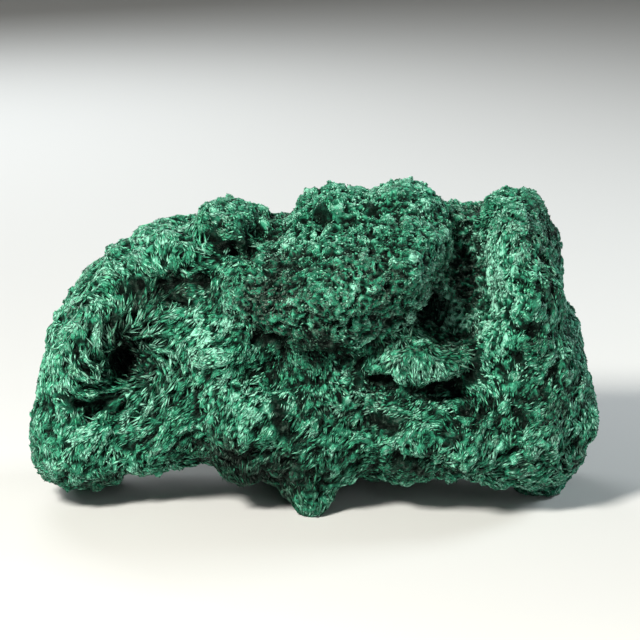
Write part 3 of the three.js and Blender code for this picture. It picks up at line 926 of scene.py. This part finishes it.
def needle_mesh(name, tufts, count, sizes, rng):
    """This many closed, three-sided spindles, in sheaves that open or close towards their tips."""
    owner = np.sort(rng.integers(0, len(tufts["place"]), count))
    picked = {key: value[owner] for key, value in tufts.items()}
    spot = np.sqrt(rng.random(count))
    angle = rng.uniform(0, 2 * math.pi, count)
    offset = picked["flow"] * (spot * np.cos(angle))[:, None]
    offset += picked["side"] * (spot * np.sin(angle))[:, None]
    opening = rng.normal(0.05, 0.3, len(tufts["place"]))[owner]
    way = picked["normal"] * np.cos(picked["lean"])[:, None]
    way += picked["flow"] * np.sin(picked["lean"])[:, None]
    stray = picked["stray"][:, None] * rng.normal(size=way.shape)
    stray -= 0.6 * np.sum(stray * picked["normal"], axis=1, keepdims=True) * picked["normal"]
    way = unit(way + offset * opening[:, None] + stray)
    stout = rng.random(count) ** 3
    length = picked["length"] * (0.6 + 0.5 * rng.random(count) + 0.4 * stout)
    lift = rng.normal(0, 0.1, count) * MM - sizes.root_depth
    root = picked["place"] + offset * sizes.tuft_radius + picked["normal"] * lift[:, None]
    tip = root + way * length[:, None]
    body = BVHTree.FromObject(bpy.data.objects[BODY], bpy.context.evaluated_depsgraph_get())
    free = (0.12 + 0.9 * smoothstep(picked["length"], 2.3 * MM, 3.2 * MM)) * MM
    tip = held_down(body, tip, free * rng.uniform(0.4, 1.3, count))

    flat = unit(np.cross(picked["normal"], way))
    roll = rng.normal(0, 0.4, count)[:, None]
    broad = flat * np.cos(roll) + np.cross(way, flat) * np.sin(roll)
    thick = np.cross(way, broad)
    width = sizes.needle_width * (0.5 + 0.4 * rng.random(count) + 1.3 * stout)
    waist = root + (tip - root) * rng.uniform(0.35, 0.6, count)[:, None]
    waist = held_down(body, waist, free)
    points = np.empty((count, 5, 3))
    points[:, 0] = root
    for corner, (a, b) in enumerate(((-0.5, -0.2), (0.5, -0.2), (0.0, 0.45)), start=1):
        points[:, corner] = waist + broad * (a * width)[:, None] + thick * (b * width)[:, None]
    points[:, 4] = tip
    # Nothing reaches below the surface that the stone stands on.
    points[:, :, 2] = np.maximum(points[:, :, 2], LOW[2] + 0.02 * MM * (1 + np.arange(5)))
    faces = np.array(((0, 2, 1), (0, 3, 2), (0, 1, 3), (4, 1, 2), (4, 2, 3), (4, 3, 1)))
    triangles = (np.arange(count)[:, None, None] * 5 + faces).reshape(-1, 3)
    mesh = triangle_mesh(name, points.reshape(-1, 3), triangles)
    # along is painted light, not the place along the spindle: low at the root and the two lower waist
    # corners as painted shade, highest at the upper waist corner, the ridge that faces out, as painted
    # highlight, and high at the tip.
    point_attribute(mesh, "along", np.tile((0.1, 0.15, 0.15, 1.0, 0.7), count))
    # shade carries each sheaf's own tone and the painted highlight and shade of its crests and creases;
    # open is the painted light, varied more from needle to needle where they are dull.
    shade = 0.75 * picked["shade"] + 0.4 * rng.random(count) - 0.06
    dull = np.clip(picked["dull"] + 0.5 * noise(picked["place"], 6 * MM, SEED + 50), 0, 1)
    dull = dull * (rng.random(count) < 0.25 + 0.75 * dull)
    uneven = 0.4 + 0.6 * picked["dull"]
    opened = np.clip(picked["open"] * (1 + uneven * rng.uniform(-1, 1, count)), 0, 1)
    for key, values in (("shade", shade), ("dull", dull), ("open", opened)):
        point_attribute(mesh, key, np.repeat(values, 5))
    bake_map(mesh, count)
    return mesh


def bake_map(mesh, count):
    """A map with a cell of its own for each spindle, so that its colours can be kept as a picture."""
    cells = math.ceil(math.sqrt(count))
    number = np.arange(count)
    corner = np.stack([number % cells, number // cells], axis=1)
    layout = []
    for low, high in ((0.45, 0.05), (0.55, 0.95)):
        for column in (0.05, 0.36, 0.67):
            ends = [(column, low), (column + 0.28, low)]
            layout += [(column + 0.14, high)] + (ends[::-1] if high < low else ends)
    uv = (corner[:, None, :] + np.array(layout)) / cells
    mesh.uv_layers.new(name="OFBake").uv.foreach_set("vector", uv.astype(np.float32).ravel())


def grow(context, name, chosen, number):
    """Grows one group of needles on the part of the ground mass that chosen picks."""
    sizes = context.scene.specimen.sizes
    rng = np.random.default_rng(SEED + number)
    tufts = tufts_where(chosen, sizes.tuft_spacing, rng)
    mesh = needle_mesh(name, tufts, sizes.needles, sizes, rng)
    show(name, mesh, kept_material(acicular_malachite, context.scene.specimen.colours))
    return {"FINISHED"}


def faces_back(points, outward):
    """True on the back and the underside, which are seen less."""
    away = outward[:, 1] + 0.25 * (points[:, 1] - LOW[1]) / SPAN[1]
    return away > 0.35


def on_left(points):
    """True on the left part: the funnel, its flank, the slope and the lobe below."""
    return (points[:, 0] - LOW[0]) / SPAN[0] < 0.36


def is_low(points):
    """True on the lower ledge, the shelf, the keel and the heavy corner."""
    return (points[:, 2] - LOW[2]) / SPAN[2] < 0.52


class SPECIMEN_OT_left_sprays(bpy.types.Operator):
    """Grows the feathery sprays of the left part, which sweep round the funnel"""

    bl_idname = "specimen.left_sprays"
    bl_label = "Left Sprays"

    def execute(self, context):
        return grow(context, "left_sprays", lambda p, n: ~faces_back(p, n) & on_left(p), 1)


class SPECIMEN_OT_ledge_needles(bpy.types.Operator):
    """Grows the long hanging needles of the ledge, the shelf, the keel and the heavy corner"""

    bl_idname = "specimen.ledge_needles"
    bl_label = "Ledge Needles"

    def execute(self, context):
        return grow(context, "ledge_needles", lambda p, n: ~faces_back(p, n) & ~on_left(p) & is_low(p), 2)


class SPECIMEN_OT_upper_grains(bpy.types.Operator):
    """Grows the short grains of the boulder, the recess and the crest, and the pillar's sprays"""

    bl_idname = "specimen.upper_grains"
    bl_label = "Upper Grains"

    def execute(self, context):
        return grow(context, "upper_grains", lambda p, n: ~faces_back(p, n) & ~on_left(p) & ~is_low(p), 3)


class SPECIMEN_OT_back_nap(bpy.types.Operator):
    """Grows the nap of the back and the underside"""

    bl_idname = "specimen.back_nap"
    bl_label = "Back Nap"

    def execute(self, context):
        return grow(context, "back_nap", faces_back, 4)


# ---------------------------------------------------------------- the stage


def area_light(name, place, aim, size, power, colour):
    """A square soft light at place that points at aim."""
    lamp = bpy.data.lights.new(name, "AREA")
    lamp.shape = "SQUARE"
    lamp.size = size
    lamp.energy = power
    lamp.color = colour[:3]
    holder = bpy.data.objects.new(name, lamp)
    holder.location = place
    holder.rotation_euler = (Vector(aim) - Vector(place)).to_track_quat("-Z", "Y").to_euler()
    bpy.context.scene.collection.objects.link(holder)


class SPECIMEN_OT_stage(bpy.types.Operator):
    """Sets up the pale floor, the soft lights and the camera"""

    bl_idname = "specimen.stage"
    bl_label = "Stage"

    def execute(self, context):
        stage = context.scene.specimen.stage
        self.sweep(stage)
        middle = (LOW + HIGH) / 2
        for name, place, size, power, colour in (
                ("key", (-0.27, -0.43, 0.41), 0.13, stage.key_power, "#FFF9F0"),
                ("fill", (0.12, -0.60, 0.20), 0.30, stage.fill_power, "#F6F8FA"),
                ("rim", (0.45, 0.15, 0.25), 0.20, stage.rim_power, "#F2FAFF"),
                ("back", (-0.20, 0.50, 0.30), 0.30, stage.back_power, "#F6F8FA")):
            area_light(name, middle + np.array(place), middle, size, power, linear(colour))
        world = bpy.data.worlds.new("soft_room")
        world.use_nodes = True
        room = world.node_tree.nodes["Background"]
        room.inputs["Color"].default_value = linear("#E8ECEE")
        room.inputs["Strength"].default_value = stage.room_light
        context.scene.world = world
        context.scene.view_settings.view_transform = "Standard"
        self.camera(context.scene, stage, middle)
        return {"FINISHED"}

    def sweep(self, stage):
        """A floor that curves up into a backdrop far behind the stone."""
        profile = [(-stage.floor_reach, 0.0), (stage.floor_reach, 0.0)]
        bend = 0.5 * stage.floor_reach
        for step in range(1, 13):
            angle = step / 12 * math.pi / 2
            profile.append((stage.floor_reach + bend * math.sin(angle), bend * (1 - math.cos(angle))))
        profile.append((stage.floor_reach + bend, 2 * stage.floor_reach))
        rows = [[(side * 2 * stage.floor_reach, y, z) for side in (-1, 1)] for y, z in profile]
        faces = [(2 * n, 2 * n + 1, 2 * n + 3, 2 * n + 2) for n in range(len(rows) - 1)]
        mesh = bpy.data.meshes.new("floor")
        mesh.from_pydata([point for row in rows for point in row], [], faces)
        mesh.shade_smooth()
        mesh.materials.append(matte_card(stage.floor_colour))
        floor = bpy.data.objects.new("floor", mesh)
        bpy.context.scene.collection.objects.link(floor)

    def camera(self, scene, stage, middle):
        """A camera before the front face, looking slightly down."""
        aim = Vector((middle[0] + stage.aim_across * SPAN[0], middle[1], stage.aim_height * SPAN[2]))
        lens = bpy.data.cameras.new("camera")
        lens.lens = stage.focal_length
        lens.clip_start = 10 * MM
        camera = bpy.data.objects.new("camera", lens)
        away = Vector((0, -math.cos(stage.camera_elevation), math.sin(stage.camera_elevation)))
        camera.location = aim + away * stage.camera_distance
        camera.rotation_euler = (-away).to_track_quat("-Z", "Y").to_euler()
        scene.collection.objects.link(camera)
        scene.camera = camera


# ---------------------------------------------------------------- settings and panel


def colour_property(name, description, hex_colour):
    """A colour setting with its default given in sRGB hex."""
    return FloatVectorProperty(
        name=name, description=description, subtype="COLOR", size=4, min=0, max=1,
        default=linear(hex_colour))


def length_property(name, description, millimetres):
    """A length setting with its default given in millimetres."""
    return FloatProperty(name=name, description=description, default=millimetres * MM, unit="LENGTH")


def power_property(name, description, watts):
    """A light's power, in watts."""
    return FloatProperty(name=name, description=description + ", in watts", default=watts)


class SpecimenSizes(bpy.types.PropertyGroup):
    """Sizes of the ground mass and of the crystals."""

    voxel: length_property("Ground grid", "Spacing of the ground mass's mesh", 0.51)
    triangles: IntProperty(
        name="Ground triangles", description="Most triangles of the ground mass", default=196000, min=10000,
        max=199000)
    draw_in: length_property("Draw in", "How far the ground mass lies under the crystals' tips", 0.8)
    knob_height: length_property(
        "Knob height", "How far the surface's knobs stand above their creases", 1.8)
    sheaf_height: length_property(
        "Sheaf height", "How far the sheaves of fibres stand above their creases", 1.25)
    tuft_spacing: length_property("Tuft spacing", "How far apart the tufts of needles grow", 1.35)
    tuft_radius: length_property("Tuft radius", "How far from a tuft's middle its needles root", 0.85)
    root_depth: length_property("Root depth", "How far a needle's root is sunk", 0.08)
    needle_width: length_property("Needle width", "Across a needle's waist", 0.37)
    needles: IntProperty(
        name="Needles", description="Needles in each group", default=33300, min=1000, max=33300)


class SpecimenColours(bpy.types.PropertyGroup):
    """Colours of the malachite."""

    # shadow is the painted shade of the deepest hollows. ground is the ground mass's own dark green, and it
    # is also painted as shade at the needles' roots. bright and mint are also painted on as highlight where
    # crests stand out.
    shadow: colour_property("Shadow", "Of the deepest hollows, a blackish green", "#020C07")
    ground: colour_property("Ground", "Of the ground mass and the needles' roots", "#06291D")
    deep: colour_property("Deep", "Of the darkest needles", "#104232")
    emerald: colour_property("Emerald", "Of most needles", "#22785A")
    bright: colour_property("Bright", "Of the lighter needles", "#46A482")
    mint: colour_property("Mint", "Of the palest needles", "#92D8BE")
    vivid: colour_property("Vivid", "Multiplies the colour of fresh patches", "#A0FFD8")
    dusty: colour_property("Dusty", "Multiplies the colour of weathered patches", "#FFE4DC")
    dull: colour_property("Dull", "Of weathered grains", "#566C60")


class SpecimenStage(bpy.types.PropertyGroup):
    """The floor, the lights and the camera."""

    floor_colour: colour_property("Floor", "Colour of the floor", "#CFD1D0")
    floor_reach: length_property("Floor reach", "From the stone to the start of the backdrop's bend", 1200)
    key_power: power_property("Key", "Power of the soft key light", 7.7)
    fill_power: power_property("Fill", "Power of the light from the front", 0.6)
    rim_power: power_property("Rim", "Power of the light from the right", 1.6)
    back_power: power_property("Back", "Power of the light from behind", 2.0)
    room_light: FloatProperty(name="Room", description="Brightness of the room", default=0.05)
    camera_distance: length_property("Distance", "From the camera to the stone", 600)
    camera_elevation: FloatProperty(
        name="Elevation", description="How far the camera looks down", default=math.radians(14),
        subtype="ANGLE", unit="ROTATION")
    focal_length: FloatProperty(
        name="Focal length", description="In millimetres, on a 36 mm frame", default=162.3)
    aim_across: FloatProperty(
        name="Aim across", description="How far right of the stone's middle, as a share of its width",
        default=0.015)
    aim_height: FloatProperty(
        name="Aim height", description="Above the floor, as a share of the stone's height", default=0.552)


class SpecimenSettings(bpy.types.PropertyGroup):
    """All the specimen's settings."""

    sizes: PointerProperty(type=SpecimenSizes)
    colours: PointerProperty(type=SpecimenColours)
    stage: PointerProperty(type=SpecimenStage)


BUILDERS = (
    SPECIMEN_OT_ground,
    SPECIMEN_OT_left_sprays,
    SPECIMEN_OT_ledge_needles,
    SPECIMEN_OT_upper_grains,
    SPECIMEN_OT_back_nap,
    SPECIMEN_OT_stage,
)


class SPECIMEN_PT_panel(bpy.types.Panel):
    """Lists the specimen's pieces in the order in which they are built"""

    bl_idname = "SPECIMEN_PT_panel"
    bl_label = "Malachite Specimen"
    bl_space_type = "VIEW_3D"
    bl_region_type = "UI"
    bl_category = "Specimen"

    def draw(self, context):
        settings = context.scene.specimen
        for group in (settings.sizes, settings.colours, settings.stage):
            box = self.layout.box()
            for name in group.__annotations__:
                box.prop(group, name)
        for builder in BUILDERS:
            self.layout.operator(builder.bl_idname)


CLASSES = (SpecimenSizes, SpecimenColours, SpecimenStage, SpecimenSettings, *BUILDERS, SPECIMEN_PT_panel)


def register():
    for cls in CLASSES:
        bpy.utils.register_class(cls)
    bpy.types.Scene.specimen = PointerProperty(type=SpecimenSettings)


def unregister():
    del bpy.types.Scene.specimen
    for cls in reversed(CLASSES):
        bpy.utils.unregister_class(cls)


def main():
    register()
    bpy.ops.specimen.ground()
    bpy.ops.specimen.left_sprays()
    bpy.ops.specimen.ledge_needles()
    bpy.ops.specimen.upper_grains()
    bpy.ops.specimen.back_nap()
    bpy.ops.specimen.stage()


if __name__ == "__main__":
    main()
